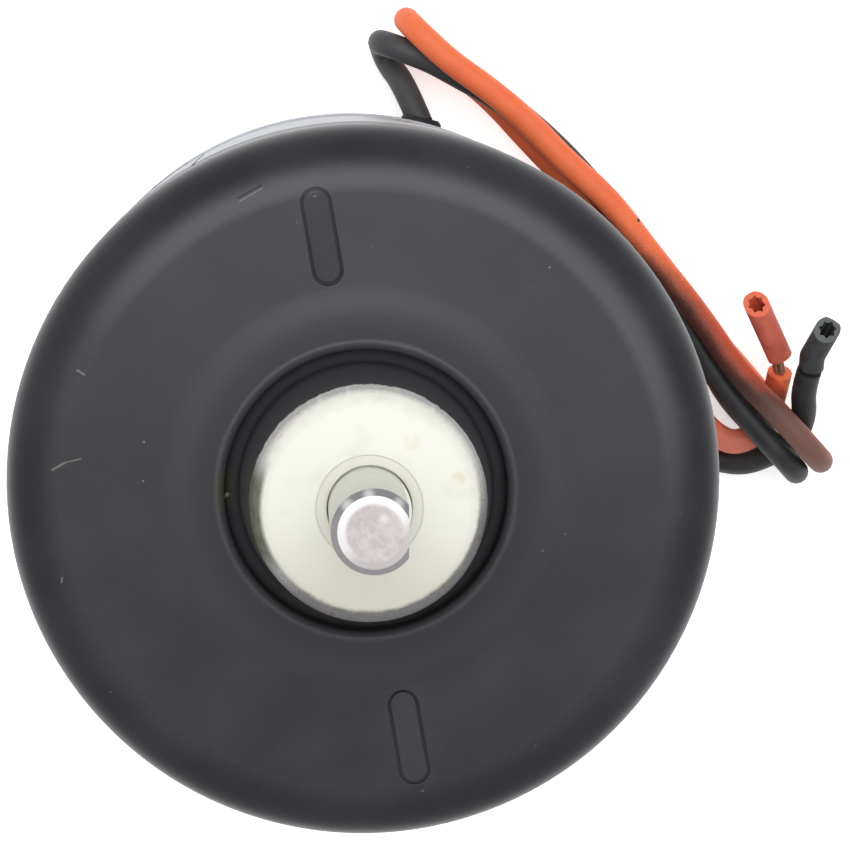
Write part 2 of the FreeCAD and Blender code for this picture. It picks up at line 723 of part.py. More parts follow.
# Route of the orange lead from the face of its grommet to the cut end of its insulation
ORANGE_ROUTE = [
    tuple(polar(GROMMET_FACE, BRUSH_ANGLES[1], LEAD_Z)),
    tuple(polar(GROMMET_FACE + 4.2, BRUSH_ANGLES[1], LEAD_Z)),
    (43.2, -5.7, 7.2),
    (41.6, 1.1, 8.6),
    (38.3, 6.8, 8.9),
    (35.9, 13.8, 8.6),
    (32.2, 20.9, 5.2),
    (28.2, 27.2, 2.5),
    (22.1, 33.2, 1.7),
    (17.3, 38.7, 1.7),
    (12.5, 42.5, 1.7),
    (8.5, 46.6, 1.7),
    (6.6, 48.5, 6.1),
    (8.2, 46.6, 10.5),
    (12.2, 42.9, 10.3),
    (16.7, 39.8, 10.2),
    (21.6, 35.8, 10.1),
    (26.4, 30.7, 10.0),
    (31.7, 26.2, 10.0),
    (36.8, 19.4, 10.4),
    (42.7, 12.1, 11.0),
    (47.8, 4.5, 11.5),
    (52.7, -0.3, 11.6),
    (56.7, -4.7, 11.4),
    (58.9, -6.9, 7.6),
    (57.9, -5.5, 3.7),
    (54.8, -2.0, 1.7),
    (51.3, 1.8, 2.4),
    (47.5, 6.2, 4.2),
    (44.0, 9.6, 5.0),
    (39.9, 8.8, 5.0),
    (38.7, 5.1, 5.0),
    (42.5, -0.3, 5.0),
    (47.1, -4.8, 5.2),
    (51.0, -3.3, 5.7),
    (52.7, 0.7, 6.3),
    (53.1, 4.7, 9.0),
]


# Direction of each loose end of insulation beyond the cut, and its length
BLACK_SLUG = [(56.4, 5.6, 13.0), (56.4, 7.1, 13.8), (58.4, 11.2, 15.5)]
ORANGE_SLUG = [(52.9, 6.8, 10.4), (49.1, 14.2, 14.2)]
SLUG_BORE = 0.8
STRAND_R = 0.24
STRAND_PITCH = 0.5


def star_prism(length, inner, outer, points):
    """Prism with a star section, standing on the origin along Z."""
    outline = []
    for k in range(2 * points):
        radius = outer if k % 2 == 0 else inner
        outline.append(polar(radius, 180.0 * k / points))
    outline.append(outline[0])
    return Part.Face(Part.makePolygon(outline)).extrude(V(0, 0, length))


def place_along(shape, start, direction):
    """Move a shape built along +Z so that it starts at a point and runs in a direction."""
    turn = FreeCAD.Rotation(V(0, 0, 1), direction)
    shape.Placement = FreeCAD.Placement(start, turn)
    return shape


# Loose end of insulation pulled along its strands, with a ragged bore and a slanting cut
def loose_slug(points, slant):
    spots = [V(*p) for p in points]
    body = None
    for a, b in zip(spots, spots[1:]):
        piece = rod(a, b, WIRE_R)
        if body is None:
            body = piece
        else:
            body = body.fuse([Part.makeSphere(WIRE_R, a), piece])
    a, b = spots[-2], spots[-1]
    reach = b - a
    tip = Part.makeBox(12, 12, 6, V(-6, -6, 0))
    cut = place_along(tip, b - unit(reach) * 0.9, slant)
    body = body.cut(cut)
    for a, b in zip(spots, spots[1:]):
        beyond = 3.0 if b == spots[-1] else 0.0
        core = star_prism((b - a).Length + 1.0 + beyond, SLUG_BORE, SLUG_BORE + 0.3, 7)
        body = body.cut(place_along(core, a - unit(b - a) * 1.0, b - a))
    return body.removeSplitter()


# Copper strands that join the cut end of a lead to its loose insulation
def copper_strands(start, end):
    run = end - start
    made = []
    strand = Part.makeCylinder(STRAND_R, run.Length)
    made.append(place_along(strand.copy(), start, run))
    for k in range(6):
        one = strand.copy()
        one.translate(polar(STRAND_PITCH, 60.0 * k))
        turn = FreeCAD.Placement(start, FreeCAD.Rotation(V(0, 0, 1), run))
        one.Placement = turn.multiply(one.Placement)
        made.append(one)
    return Part.makeCompound(made)


def lead(route, name):
    """One flexible lead, with its bend radii printed."""
    spots = [V(*p) for p in route]
    body, radii, length = tube_along(spots, WIRE_R)
    section = math.pi * WIRE_R ** 2
    print(name, "length %.1f" % length, "volume ratio %.4f" % (body.Volume / (section * length)))
    print(name, "radii", " ".join("%.1f" % r for r in radii))
    return body


def main():
    save(front_cap(), "front_cap")
    save(yoke_tube(), "yoke_tube")
    save(rear_cover(), "rear_cover")
    save(rear_dust_cap(), "rear_dust_cap")
    for k in range(POLES):
        save(field_magnet(BRUSH_ANGLES[0] - 45.0 + 90.0 * k), "field_magnet_%d" % (k + 1))
    clips = [magnet_clip(BRUSH_ANGLES[0] + 90.0 * k) for k in range(POLES)]
    save(Part.makeCompound(clips), "magnet_clips")
    save(motor_shaft(), "motor_shaft")
    save(armature_core(), "armature_core")
    save(end_disc(CORE_REAR - 0.6, CORE_REAR), "rear_end_disc")
    save(end_disc(CORE_FRONT, CORE_FRONT + 0.6), "front_end_disc")
    save(armature_windings(), "armature_windings")
    save(commutator_hub(), "commutator_hub")
    save(commutator_bars(), "commutator_bars")
    save(spacer_sleeve(), "spacer_sleeve")
    save(oil_slinger(), "oil_slinger")
    save(thrust_washer(93.0, 93.7, 5.6), "front_thrust_washer")
    save(thrust_washer(93.7, 94.5, 5.4), "front_fibre_washer")
    save(thrust_washer(11.2, 11.9, 5.4), "rear_thrust_washer")
    save(thrust_washer(10.5, 11.2, 5.2), "rear_fibre_washer")
    save(bearing(FRONT_BALL_Z, FRONT_HALF), "front_bearing")
    save(bearing(REAR_BALL_Z, REAR_HALF), "rear_bearing")
    save(bearing_retainer(94.2, 9.95, 6.3), "front_bearing_retainer")
    save(bearing_retainer(2.4, 10.25, 7.7), "rear_bearing_retainer")
    save(oil_felt(94.9, 100.6, 9.95), "front_oil_felt")
    save(oil_felt(3.1, 6.2, 10.25), "rear_oil_felt")
    save(brush_card(), "brush_card")
    save(card_pillars(), "card_pillars")
    for k, angle in enumerate(BRUSH_ANGLES):
        save(brush_holder(angle), "brush_holder_%d" % (k + 1))
        save(carbon_brush(angle), "carbon_brush_%d" % (k + 1))
        save(brush_spring(angle), "brush_spring_%d" % (k + 1))
        save(brush_pigtail(angle), "brush_pigtail_%d" % (k + 1))
    save(holder_rivets(), "holder_rivets")
    for name, angle in zip(("black", "orange"), BRUSH_ANGLES):
        save(lead_grommet(angle), name + "_lead_grommet")
        save(inner_lead(angle), name + "_inner_lead")
    save(lead(BLACK_ROUTE, "black_lead"), "black_lead")
    save(lead(ORANGE_ROUTE, "orange_lead"), "orange_lead")
    save(loose_slug(BLACK_SLUG, V(0.1, 0.55, 0.83)), "black_insulation_slug")
    save(loose_slug(ORANGE_SLUG, V(-0.2, 0.5, 0.84)), "orange_insulation_slug")
    black_end = V(*BLACK_ROUTE[-1])
    orange_end = V(*ORANGE_ROUTE[-1])
    save(copper_strands(black_end, V(*BLACK_SLUG[1])), "black_copper_strands")
    slug_foot = V(*ORANGE_SLUG[0])
    slug_run = unit(V(*ORANGE_SLUG[1]) - slug_foot)
    save(copper_strands(orange_end, slug_foot + slug_run * 2.0), "orange_copper_strands")


main()
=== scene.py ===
import logging
import math
from dataclasses import dataclass
from enum import Enum
from typing import Any, Optional, Union

import bpy
from mathutils import Matrix, Vector


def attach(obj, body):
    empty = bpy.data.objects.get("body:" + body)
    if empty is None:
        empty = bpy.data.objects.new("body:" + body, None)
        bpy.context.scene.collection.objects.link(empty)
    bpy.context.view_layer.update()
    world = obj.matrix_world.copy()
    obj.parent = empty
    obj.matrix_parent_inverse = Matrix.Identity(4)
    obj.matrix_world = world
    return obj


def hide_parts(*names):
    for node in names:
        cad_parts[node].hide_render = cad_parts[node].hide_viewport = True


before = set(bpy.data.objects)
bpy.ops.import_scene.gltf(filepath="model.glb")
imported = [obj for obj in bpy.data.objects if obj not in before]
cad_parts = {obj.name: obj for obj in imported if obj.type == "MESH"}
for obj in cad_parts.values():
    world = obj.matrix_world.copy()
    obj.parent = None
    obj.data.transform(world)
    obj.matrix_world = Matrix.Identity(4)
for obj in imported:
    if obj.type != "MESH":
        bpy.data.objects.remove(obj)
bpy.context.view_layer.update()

logging.basicConfig(level=logging.INFO, format="%(message)s")
LOG = logging.getLogger("blower_motor")

MM = 0.001
# How far a noise is shifted along each axis, as shares of its shift.
SHIFT_SHARES = (1.0, 0.7, 1.3)
# Shares of a speck's radius where it begins and where it is full.
SPECK_EDGE = (1.0, 0.6)
# Keeps the radius of the smallest specks above nothing.
LEAST_CHANCE = 0.001
Colour = tuple[float, float, float, float]
Point = tuple[float, float, float]
Pair = tuple[float, float]
Stroke = tuple[float, float, float, float, float]


def tone(red: float, green: float, blue: float) -> Colour:
    """Colour on a shader socket from the 0 to 255 values seen on screen.

    Args:
        red: Red as shown.
        green: Green as shown.
        blue: Blue as shown.

    Returns:
        The linear colour with full alpha.
    """
    def linear(value: float) -> float:
        """One channel made linear."""
        share = value / 255.0
        return share / 12.92 if share <= 0.04045 else ((share + 0.055) / 1.055) ** 2.4

    return (linear(red), linear(green), linear(blue), 1.0)


class Val:
    """A socket that takes part in Python expressions."""

    def __init__(self, net: "Net", socket: bpy.types.NodeSocket) -> None:
        """Keep the node tree and the socket."""
        self.net = net
        self.socket = socket

    def _math(self, operation: str, first: "Number", second: "Number") -> "Val":
        """Add one Math node over two numbers."""
        return self.net.node("ShaderNodeMath", {"operation": operation}, {0: first, 1: second})

    def __add__(self, other: "Number") -> "Val":
        """Sum."""
        return self._math("ADD", self, other)

    def __radd__(self, other: "Number") -> "Val":
        """Sum, reflected."""
        return self._math("ADD", other, self)

    def __sub__(self, other: "Number") -> "Val":
        """Difference."""
        return self._math("SUBTRACT", self, other)

    def __rsub__(self, other: "Number") -> "Val":
        """Difference, reflected."""
        return self._math("SUBTRACT", other, self)

    def __mul__(self, other: "Number") -> "Val":
        """Product."""
        return self._math("MULTIPLY", self, other)

    def __rmul__(self, other: "Number") -> "Val":
        """Product, reflected."""
        return self._math("MULTIPLY", other, self)

    def __truediv__(self, other: "Number") -> "Val":
        """Quotient."""
        return self._math("DIVIDE", self, other)

    def __rtruediv__(self, other: "Number") -> "Val":
        """Quotient, reflected."""
        return self._math("DIVIDE", other, self)

    def __pow__(self, other: "Number") -> "Val":
        """Power."""
        return self._math("POWER", self, other)

    def __rpow__(self, other: "Number") -> "Val":
        """Power, reflected."""
        return self._math("POWER", other, self)

    def least(self, other: "Number") -> "Val":
        """Smaller of two numbers."""
        return self._math("MINIMUM", self, other)

    def most(self, other: "Number") -> "Val":
        """Larger of two numbers."""
        return self._math("MAXIMUM", self, other)

    def size(self) -> "Val":
        """Value without its sign."""
        return self._math("ABSOLUTE", self, 0.0)

    def wave(self) -> "Val":
        """Sine of the value."""
        return self._math("SINE", self, 0.0)

    def angle_from(self, other: "Val") -> "Val":
        """Angle whose tangent is this over other."""
        return self._math("ARCTAN2", self, other)


Number = Union[Val, float]
Tint = Union[Val, Colour]


class Net:
    """Node tree of one material, in millimetres of the object's frame."""

    def __init__(self, name: str) -> None:
        """Start an empty material.

        Args:
            name: Name of the material.
        """
        self.material = bpy.data.materials.new(name)
        self.material.use_nodes = True
        self.tree = self.material.node_tree
        self.tree.nodes.clear()
        place = self.node("ShaderNodeTexCoord", output="Object")
        self.place = self.node("ShaderNodeVectorMath", {"operation": "SCALE"}, {0: place, "Scale": 1 / MM})
        self.x, self.y, self.z = (
            self.node("ShaderNodeSeparateXYZ", inputs={0: self.place}, output=axis) for axis in "XYZ"
        )
        self.radius = (self.x * self.x + self.y * self.y) ** 0.5

    def node(
        self,
        kind: str,
        settings: Optional[dict[str, Any]] = None,
        inputs: Optional[dict[Union[int, str], Any]] = None,
        output: Union[int, str] = 0,
    ) -> Val:
        """Add one node.

        Args:
            kind: Blender's type of the node.
            settings: Properties set before its sockets.
            inputs: Values or expressions by socket.
            output: Socket that is handed back.

        Returns:
            The chosen output socket.
        """
        made = self.tree.nodes.new(kind)
        for key, value in (settings or {}).items():
            setattr(made, key, value)
        for key, value in (inputs or {}).items():
            socket = made.inputs[key]
            if isinstance(value, Val):
                self.tree.links.new(value.socket, socket)
            else:
                socket.default_value = value
        return Val(self, made.outputs[output])

    def noise(
        self,
        grain: float,
        detail: float = 2.0,
        stretch: Point = (1.0, 1.0, 1.0),
        shift: float = 0.0,
    ) -> Val:
        """Soft noise between 0 and 1.

        Args:
            grain: Size of a patch in millimetres.
            detail: Number of finer layers.
            stretch: How many times longer a patch is along each axis.
            shift: Offset that gives a different pattern.

        Returns:
            The noise value.
        """
        offset = tuple(shift * share for share in SHIFT_SHARES)
        place = self.moved(offset, tuple(1 / long for long in stretch))
        inputs = {"Vector": place, "Scale": 1 / grain, "Detail": detail}
        return self.node("ShaderNodeTexNoise", None, inputs)

    def moved(self, shift: Point, scale: Point = (1.0, 1.0, 1.0)) -> Val:
        """Place on the object, scaled and then shifted."""
        inputs = {"Vector": self.place, "Location": shift, "Scale": scale}
        return self.node("ShaderNodeMapping", {"vector_type": "POINT"}, inputs)

    def specks(self, pitch: float, size: float, shift: float = 0.0) -> Val:
        """Scattered round specks.

        Args:
            pitch: Mean distance between specks in millimetres.
            size: Radius of a speck as a share of the pitch.
            shift: Offset that gives a different scatter.

        Returns:
            A mask that is 1 inside a speck.
        """
        inputs = {"Vector": self.moved((shift, shift, shift)), "Scale": 1 / pitch}
        distance = self.node("ShaderNodeTexVoronoi", None, inputs)
        lot = self.node("ShaderNodeTexVoronoi", None, inputs, output="Color")
        chance = self.node("ShaderNodeSeparateColor", None, {0: lot})
        return self.fade(distance / (size * chance * chance + LEAST_CHANCE), *SPECK_EDGE)

    def fade(self, value: Number, off: float, full: float) -> Val:
        """Smooth step.

        Args:
            value: The expression that is compared.
            off: Where the result is 0.
            full: Where the result is 1.

        Returns:
            A mask between 0 and 1.
        """
        inputs = {"Value": value, "From Min": min(off, full), "From Max": max(off, full)}
        step = self.node("ShaderNodeMapRange", {"interpolation_type": "SMOOTHSTEP"}, inputs)
        return step if off < full else 1.0 - step

    def away(self, x: float, y: float) -> Val:
        """Distance from a line along the shaft."""
        return ((self.x - x) ** 2.0 + (self.y - y) ** 2.0) ** 0.5

    def mix(self, share: Number, first: Tint, second: Tint) -> Val:
        """Colour between two colours, where a share of 0 gives the first."""
        return self.node("ShaderNodeMix", {"data_type": "RGBA"}, {0: share, 6: first, 7: second}, output=2)

    def between(self, share: Number, first: Number, second: Number) -> Val:
        """Number between two numbers, where a share of 0 gives the first."""
        return share * (second - first) + first

    def stroke(self, line: Stroke) -> Val:
        """Mask of a short straight mark seen from the shaft end.

        Args:
            line: X and y of one end, x and y of the other, and the full width.

        Returns:
            A mask that is 1 on the scratch.
        """
        x0, y0, x1, y1, width = line
        run = (x1 - x0, y1 - y0)
        length = math.hypot(*run)
        along = ((self.x - x0) * run[0] + (self.y - y0) * run[1]) / length
        across = ((self.x - x0) * -run[1] + (self.y - y0) * run[0]) / length
        outside = (along - length / 2).size() - length / 2
        far = outside.most(0.0) + across.size()
        return self.fade(far, width / 2, width / 4)

    def spot(self, x: float, y: float, radius: float) -> Val:
        """Mask of a small round mark seen from the shaft end."""
        return self.fade(self.away(x, y), radius, radius * 0.5)

    def bump(self, height: Val, depth: float, under: Optional[Val] = None) -> Val:
        """Relief of the surface.

        Args:
            height: Height between 0 and 1.
            depth: Millimetres between 0 and 1.
            under: Relief that this one lies on.

        Returns:
            The surface normal.
        """
        inputs: dict[Union[int, str], Any] = {"Height": height, "Distance": depth * MM, "Strength": 1.0}
        if under is not None:
            inputs["Normal"] = under
        return self.node("ShaderNodeBump", None, inputs)

    def surface(self, **sockets: Any) -> bpy.types.Material:
        """Close the tree with its shader.

        Args:
            **sockets: Socket values by name, with an underscore for a blank.

        Returns:
            The finished material.
        """
        inputs = {key.replace("_", " "): value for key, value in sockets.items()}
        shader = self.node("ShaderNodeBsdfPrincipled", None, inputs)
        out = self.tree.nodes.new("ShaderNodeOutputMaterial")
        self.tree.links.new(shader.socket, out.inputs["Surface"])
        return self.material

    def vinyl(self, colour: Val, patch: Val, roughness: float, gloss: float = 0.35) -> bpy.types.Material:
        """Close the tree as soft insulation with a fine grain.

        Args:
            colour: Colour of the insulation.
            patch: Noise that varies its roughness.
            roughness: Roughness where the noise is 0.
            gloss: Level of its highlights.

        Returns:
            The finished material.
        """
        return self.surface(
            Base_Color=colour,
            Roughness=roughness + patch * 0.12,
            Specular_IOR_Level=gloss,
            Normal=self.bump(self.noise(0.35, 3.0), 0.01),
        )


@dataclass(frozen=True)
class PaintedCap:
    """Black paint over drawn steel, with the end of the boss left bare and creamy with zinc; painted light
    in its colour: a lighter slope and valley wall, a highlight ring, glints, and shade on the bare end and
    in a gouge.
    """

    paint: Colour = tone(43, 43, 48)
    paint_worn: Colour = tone(52, 52, 58)
    paint_slope_lit: Colour = tone(66, 66, 70)
    paint_ring_highlight: Colour = tone(94, 94, 100)
    scratch_and_highlight: Colour = tone(150, 148, 142)
    gouge_shade: Colour = tone(20, 20, 22)
    cream: Colour = tone(238, 238, 228)
    cream_dirt_and_shade: Colour = tone(202, 200, 184)
    stain: Colour = tone(226, 214, 178)
    flake: Colour = tone(218, 216, 212)
    flake_glint: Colour = tone(246, 244, 242)
    flake_shade: Colour = tone(126, 124, 124)
    rim_glint: Colour = tone(250, 250, 248)
    rust: Colour = tone(122, 92, 66)
    bore_shade: Colour = tone(70, 72, 62)
    grime: Colour = tone(70, 74, 44)
    crumb: Colour = tone(196, 192, 172)
    paint_edge: float = 103.4
    edge_blur: float = 0.3
    edge_ragged: float = 1.3
    edge_wander: float = 0.9
    cream_radius: float = 10.55
    cream_blur: float = 0.26
    collar: Pair = (5.35, 5.1)
    bore: Pair = (4.12, 4.07)
    valley: Pair = (14.9, 14.1)
    slope: Pair = (21.0, 17.5)
    ring_inside: Pair = (29.4, 30.6)
    ring_outside: Pair = (33.6, 31.2)
    cream_rim: Pair = (9.2, 10.8)
    moss_radius: Pair = (10.1, 10.7)
    moss_z: Pair = (98.0, 103.0)
    moss_x: Pair = (0.0, -4.0)
    moss_y: Pair = (6.2, 3.0)
    valley_moss: tuple[Pair, ...] = ((-13.0, -13.5), (-15.0, -14.4), (2.2, 1.2))
    gouge: Stroke = (-12.7, 29.0, -10.3, 30.3, 0.24)
    pale_lines: tuple[Stroke, ...] = (
        (-31.3, 1.95, -30.0, 2.7, 0.3),
        (-30.0, 2.7, -28.4, 3.1, 0.17),
        (-28.7, 11.95, -28.0, 11.5, 0.3),
        (-30.5, -9.4, -30.4, -8.9, 0.26),
        # Painted highlight on the lit lower edge of the gouge.
        (-12.5, 28.7, -10.2, 30.0, 0.15),
        # Painted glint at the end of an obround groove.
        (-5.15, 29.2, -4.85, 29.2, 0.16),
    )
    pale_spots: tuple[Point, ...] = ((-22.1, 4.8, 0.16), (-22.2, 0.9, 0.14), (18.4, 22.1, 0.13))
    rim_glint_spots: tuple[Point, ...] = ((-4.8, 10.3, 0.34), (6.1, 9.3, 0.34), (-2.0, 11.0, 0.34))
    rust_spots: tuple[Point, ...] = ((-6.4, 9.9, 0.34), (10.6, -3.2, 0.3), (-3.6, -10.4, 0.36))
    stain_spots: tuple[Point, ...] = ((4.1, 6.3, 1.1), (8.5, 2.7, 1.0))
    crumb_spot: Point = (-13.9, -0.6, 0.3)
    peel_depth: float = 0.01
    flake_depth: float = 0.05
    paint_depth: float = 0.07
    paint_roughness: float = 0.32
    valley_roughness: float = 0.42
    flake_roughness: float = 0.5
    cream_roughness: float = 0.44
    flake_metallic: float = 0.2
    gloss: float = 0.28

    def marks(self, net: Net) -> Val:
        """Mask of the pale scratches and specks in the paint, with a painted highlight on the gouge's
        lower edge and a painted glint in an obround groove.

        Args:
            net: Tree of the cap's material.

        Returns:
            The mask.
        """
        mask = net.specks(2.4, 0.075, shift=11.0) * 0.4
        for line in self.pale_lines:
            mask = mask.most(net.stroke(line) * 0.55)
        for spot in self.pale_spots:
            mask = mask.most(net.spot(*spot) * 0.8)
        return mask * net.between(net.noise(0.4, 1.0), 0.4, 1.0)

    def coat(self, net: Net, patches: Val) -> Val:
        """Colour of the paint with its marks, a painted lighter slope, a painted highlight ring and a
        painted shade in the gouge.

        Args:
            net: Tree of the cap's material.
            patches: Cloudy noise over the whole cap.

        Returns:
            The colour.
        """
        cloud = net.mix(net.fade(patches, 0.35, 0.7), self.paint, self.paint_worn)
        cloud = net.mix(net.fade(net.noise(0.5, 2.0, shift=4.0), 0.4, 0.7) * 0.3, cloud, self.paint_worn)
        # Painted light: the sloping ring round the valley is lighter, most on the upper side.
        upper = net.fade(net.y - net.x * 0.4, -16.0, 22.0)
        slope = net.fade(net.radius, *self.slope) * net.between(upper, 0.75, 1.0)
        # Painted highlight: a lighter ring at the shoulder's edge, strongest towards the top.
        ring = net.fade(net.radius, *self.ring_inside) * net.fade(net.radius, *self.ring_outside)
        shine = net.fade(net.y + net.x * 0.25, 2.0, 22.0) * 0.43
        cloud = net.mix(slope, cloud, self.paint_slope_lit)
        coat = net.mix(ring * shine, cloud, self.paint_ring_highlight)
        marked = net.mix(self.marks(net), coat, self.scratch_and_highlight)
        # Painted shade: the gouge is darkened like a shaded groove.
        return net.mix(net.stroke(self.gouge) * 0.8, marked, self.gouge_shade)

    def flakes(self, net: Net) -> Val:
        """Colour of the flaky rim of the bare end, with painted shade on its lower side and painted glints
        on its upper side.

        Args:
            net: Tree of the cap's material.

        Returns:
            The colour.
        """
        fine = net.noise(0.26, 3.0)
        # Painted shade: the rim is darker on its lower side.
        low = net.fade(net.y - net.x * 0.4, 3.0, -7.0)
        base = net.mix(low, self.flake, self.flake_shade)
        # Painted glints: bright flecks, mostly on the upper side.
        flake = net.mix(net.fade(fine, 0.42, 0.75) * (0.7 - low * 0.62), base, self.flake_glint)
        rusty = net.fade(net.noise(1.1, 3.0, shift=21.0), 0.62, 0.76) * (0.55 - low * 0.4)
        flake = net.mix(rusty, flake, self.rust)
        # Painted glints: three bright spots on the rim.
        for spot in self.rim_glint_spots:
            flake = net.mix(net.spot(*spot) * 0.6, flake, self.rim_glint)
        return flake

    def face(self, net: Net) -> Val:
        """Colour of the creamy face of the bare end, with stains, worn patches, a darker ring inside the
        collar and a painted shade towards the bottom.

        Args:
            net: Tree of the cap's material.

        Returns:
            The colour.
        """
        stains = net.fade(net.noise(3.4, 2.0, shift=9.0), 0.5, 0.85) * 0.35
        worn = net.fade(net.noise(1.2, 2.0, shift=17.0), 0.35, 0.75)
        rim = net.fade(net.radius, *self.cream_rim) * worn * 0.3
        # Painted shade: the creamy face darkens towards the bottom.
        shade = net.fade(net.y, 1.0, -11.0) * 0.75
        cream = net.mix(stains.most(rim).most(shade), self.cream, self.cream_dirt_and_shade)
        for spot in self.stain_spots:
            blot = net.spot(*spot) * net.fade(net.noise(1.2, 1.0, shift=31.0), 0.2, 0.8)
            cream = net.mix(blot * 0.6, cream, self.stain)
        return net.mix(net.fade(net.radius, *self.collar) * 0.3, cream, self.cream_dirt_and_shade)

    def metal(self, net: Net, creamy: Val) -> Val:
        """Colour of the bare end: a flaky rim around a creamy face.

        Args:
            net: Tree of the cap's material.
            creamy: Mask of the creamy face.

        Returns:
            The colour.
        """
        colour = net.mix(creamy, self.flakes(net), self.face(net))
        for spot in self.rust_spots:
            colour = net.mix(net.spot(*spot) * 0.5, colour, self.rust)
        return colour

    def dirt(self, net: Net) -> Val:
        """Mask of the green grime on the left of the boss and in the valley beside it.

        Args:
            net: Tree of the cap's material.

        Returns:
            The mask.
        """
        clots = net.between(net.noise(0.9, 2.0, shift=5.0), 0.75, 1.1)
        left = net.fade(net.x, *self.moss_x) * net.fade((net.y + 1.0).size(), *self.moss_y)
        boss = net.fade(net.radius, *self.moss_radius) * left * net.fade(net.z, *self.moss_z)
        inside, outside, tall = self.valley_moss
        valley = net.fade(net.x, *inside) * net.fade(net.x, *outside) * net.fade(net.y.size(), *tall)
        return (boss * clots).most(valley * 0.7)

    def relief(self, net: Net, bare: Val, creamy: Val) -> Val:
        """Normal of the orange peel, the flakes and the step at the paint's edge.

        Args:
            net: Tree of the cap's material.
            bare: Mask of the bare end.
            creamy: Mask of the creamy face.

        Returns:
            The normal.
        """
        peel = net.bump(net.noise(1.1, 3.0, shift=2.0), self.peel_depth)
        flaky = net.bump(bare * (1.0 - creamy) * net.noise(0.35, 3.0), self.flake_depth, peel)
        return net.bump(1.0 - bare, self.paint_depth, flaky)

    def build(self) -> bpy.types.Material:
        """Make the material of the front cap.

        Returns:
            The material.
        """
        net = Net("cap_black_paint")
        ragged = net.noise(0.8, 3.0)
        coarse = net.noise(3.6, 2.0, shift=7.0)
        patches = net.noise(12.0, 4.0, shift=3.0)
        edge = net.z + (ragged - 0.5) * self.edge_ragged + (coarse - 0.5) * self.edge_wander
        bare = net.fade(edge, self.paint_edge - self.edge_blur, self.paint_edge + self.edge_blur)
        rim = net.radius - net.y * 0.05 + (ragged - 0.5) * 0.35
        creamy = net.fade(rim, self.cream_radius + self.cream_blur, self.cream_radius - self.cream_blur)
        valley = net.fade(net.radius, *self.valley)
        upper = net.fade(net.y, 2.0, 11.0) * (1.0 - bare)
        colour = net.mix(bare, self.coat(net, patches), self.metal(net, creamy))
        colour = net.mix(net.fade(net.radius, *self.bore) * 0.6, colour, self.bore_shade)
        colour = net.mix(self.dirt(net) * 0.9, colour, self.grime)
        colour = net.mix(net.spot(*self.crumb_spot) * 0.7, colour, self.crumb)
        # Painted light: the valley and the boss wall are lighter on their upper side.
        colour = net.mix(valley * upper * 0.7, colour, self.paint_slope_lit)
        painted = self.paint_roughness + patches * 0.08 + valley * self.valley_roughness
        metal = net.between(creamy, self.flake_roughness + ragged * 0.2, self.cream_roughness)
        return net.surface(
            Base_Color=colour,
            Roughness=net.between(bare, painted, metal),
            Metallic=bare * net.between(creamy, self.flake_metallic, 0.0),
            Specular_IOR_Level=self.gloss,
            Normal=self.relief(net, bare, creamy),
        )


@dataclass(frozen=True)
class PlatedSteel:
    """Zinc plated sheet with rolling streaks and cloudy patches."""

    name: str = "zinc_steel"
    bright: Colour = tone(174, 176, 181)
    dull: Colour = tone(146, 150, 158)
    grime: Colour = tone(128, 122, 112)
    streak: Point = (1.0, 1.0, 14.0)
    roughness: float = 0.3
    metallic: float = 0.95
    depth: float = 0.012

    def build(self) -> bpy.types.Material:
        """Make the plated finish.

        Returns:
            The material.
        """
        net = Net(self.name)
        clouds = net.noise(7.0, 3.0)
        lines = net.noise(0.35, 2.0, stretch=self.streak)
        grime = net.fade(net.noise(9.0, 4.0, shift=4.0), 0.58, 0.78)
        colour = net.mix(clouds, self.bright, self.dull)
        colour = net.mix(grime * 0.35, colour, self.grime)
        relief = net.bump(lines, self.depth)
        rough = self.roughness + clouds * 0.12 + lines * 0.08
        return net.surface(Base_Color=colour, Roughness=rough, Metallic=self.metallic, Normal=relief)


